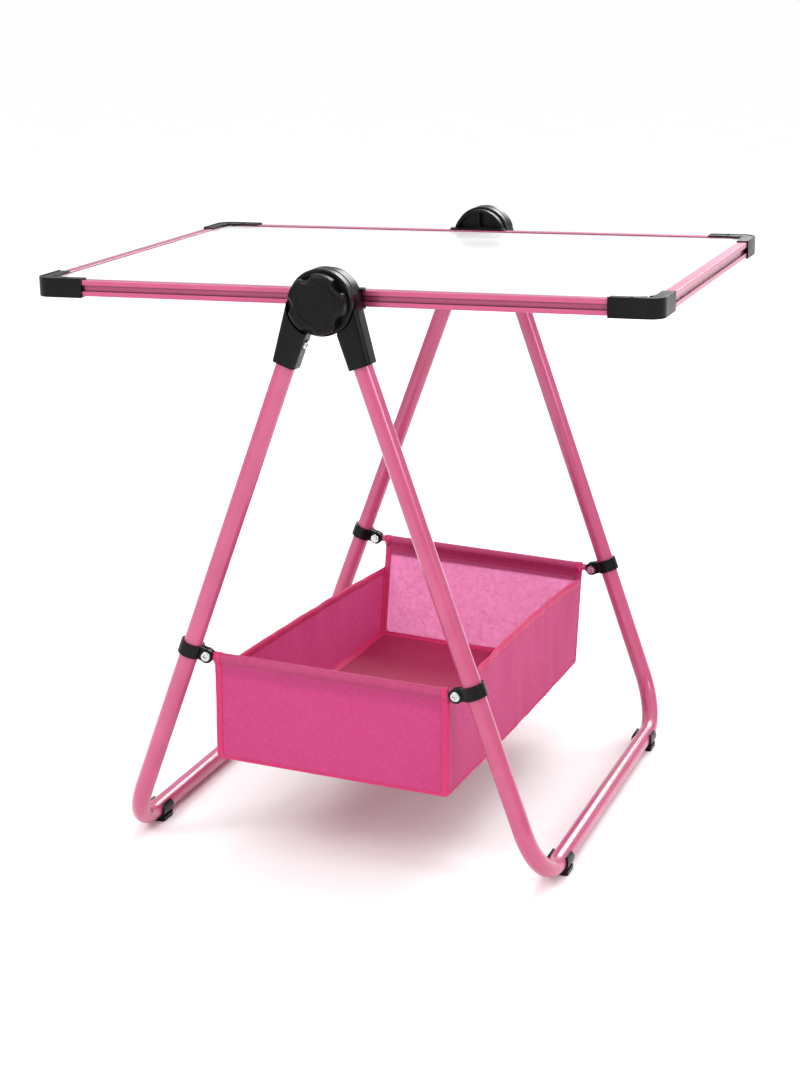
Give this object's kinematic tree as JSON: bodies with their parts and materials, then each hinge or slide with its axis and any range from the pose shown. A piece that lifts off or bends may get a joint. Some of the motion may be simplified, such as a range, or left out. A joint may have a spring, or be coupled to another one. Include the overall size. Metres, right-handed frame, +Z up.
{
  "type": "kids easel",
  "caption": "Double-sided drawing board with a pink frame that flips between two U-shaped tube leg frames, over a hung fabric basket.",
  "frame": {"origin": "on the floor, below the middle of the board", "axes": "+X along the board's length, +Y along the hub axis from the near end to the far end, +Z up"},
  "size_m": [0.7002, 0.606, 0.669],
  "materials": {
    "panel": "raw",
    "white_sheet": "gloss",
    "pink_aluminium": "satin",
    "black_plastic": "satin",
    "zinc_steel": "satin",
    "pink_tube": "gloss",
    "bar_steel": "gloss",
    "basket_fabric": "matte",
    "brass": "satin"
  },
  "bodies": {
    "stand": {"basket_bar_far": "bar_steel", "basket_bar_near": "bar_steel", "basket_base_panel": "basket_fabric", "basket_far_panel": "basket_fabric", "basket_left_panel": "basket_fabric", "basket_near_panel": "basket_fabric", "basket_right_panel": "basket_fabric", "clamp_far_left": "black_plastic", "clamp_far_right": "black_plastic", "clamp_near_left": "black_plastic", "clamp_near_right": "black_plastic", "clamp_nuts": "zinc_steel", "clamp_screws": "zinc_steel", "foot_far_left": "black_plastic", "foot_far_right": "black_plastic", "foot_near_left": "black_plastic", "foot_near_right": "black_plastic", "leg_bracket_far_left": "black_plastic", "leg_bracket_far_right": "black_plastic", "leg_bracket_near_left": "black_plastic", "leg_bracket_near_right": "black_plastic", "leg_screws": "zinc_steel", "u_frame_left": "pink_tube", "u_frame_right": "pink_tube"},
    "board": {"panel_core": "panel", "face_sheet_top": "white_sheet", "face_sheet_bottom": "white_sheet", "rail_far": "pink_aluminium", "rail_near": "pink_aluminium", "rail_left": "pink_aluminium", "rail_right": "pink_aluminium", "bracket_screws": "zinc_steel", "corner_cap_near_left": "black_plastic", "corner_cap_near_right": "black_plastic", "corner_cap_far_left": "black_plastic", "corner_cap_far_right": "black_plastic", "board_bracket_near": "black_plastic", "board_bracket_far": "black_plastic", "pivot_bolt_near": "zinc_steel", "pivot_bolt_far": "zinc_steel"},
    "near_washer": {"knob_washer_near": "zinc_steel"},
    "near_knob": {"hand_knob_near": "black_plastic", "knob_insert_near": "brass"},
    "far_washer": {"knob_washer_far": "zinc_steel"},
    "far_knob": {"hand_knob_far": "black_plastic", "knob_insert_far": "brass"}
  },
  "joints": [
    {"name": "board_flip", "type": "hinge", "parent": "stand", "child": "board", "pos_m": [0, 0, 0.634], "axis": [0, 1, 0], "continuous": true},
    {"name": "near_knob_travel", "type": "slide", "parent": "board", "child": "near_washer", "axis": [0, -1, 0], "range_m": [0, 0.0025]},
    {"name": "near_knob_turn", "type": "hinge", "parent": "near_washer", "child": "near_knob", "pos_m": [0, -0.29, 0.634], "axis": [0, -1, 0], "range_deg": [0, 720]},
    {"name": "far_knob_travel", "type": "slide", "parent": "board", "child": "far_washer", "axis": [0, 1, 0], "range_m": [0, 0.0025]},
    {"name": "far_knob_turn", "type": "hinge", "parent": "far_washer", "child": "far_knob", "pos_m": [0, 0.29, 0.634], "axis": [0, 1, 0], "range_deg": [0, 720]}
  ],
  "couplings": [
    {"joint": "near_knob_travel", "follows": "near_knob_turn", "m_per_rad": 0.00019894},
    {"joint": "far_knob_travel", "follows": "far_knob_turn", "m_per_rad": 0.00019894}
  ]
}
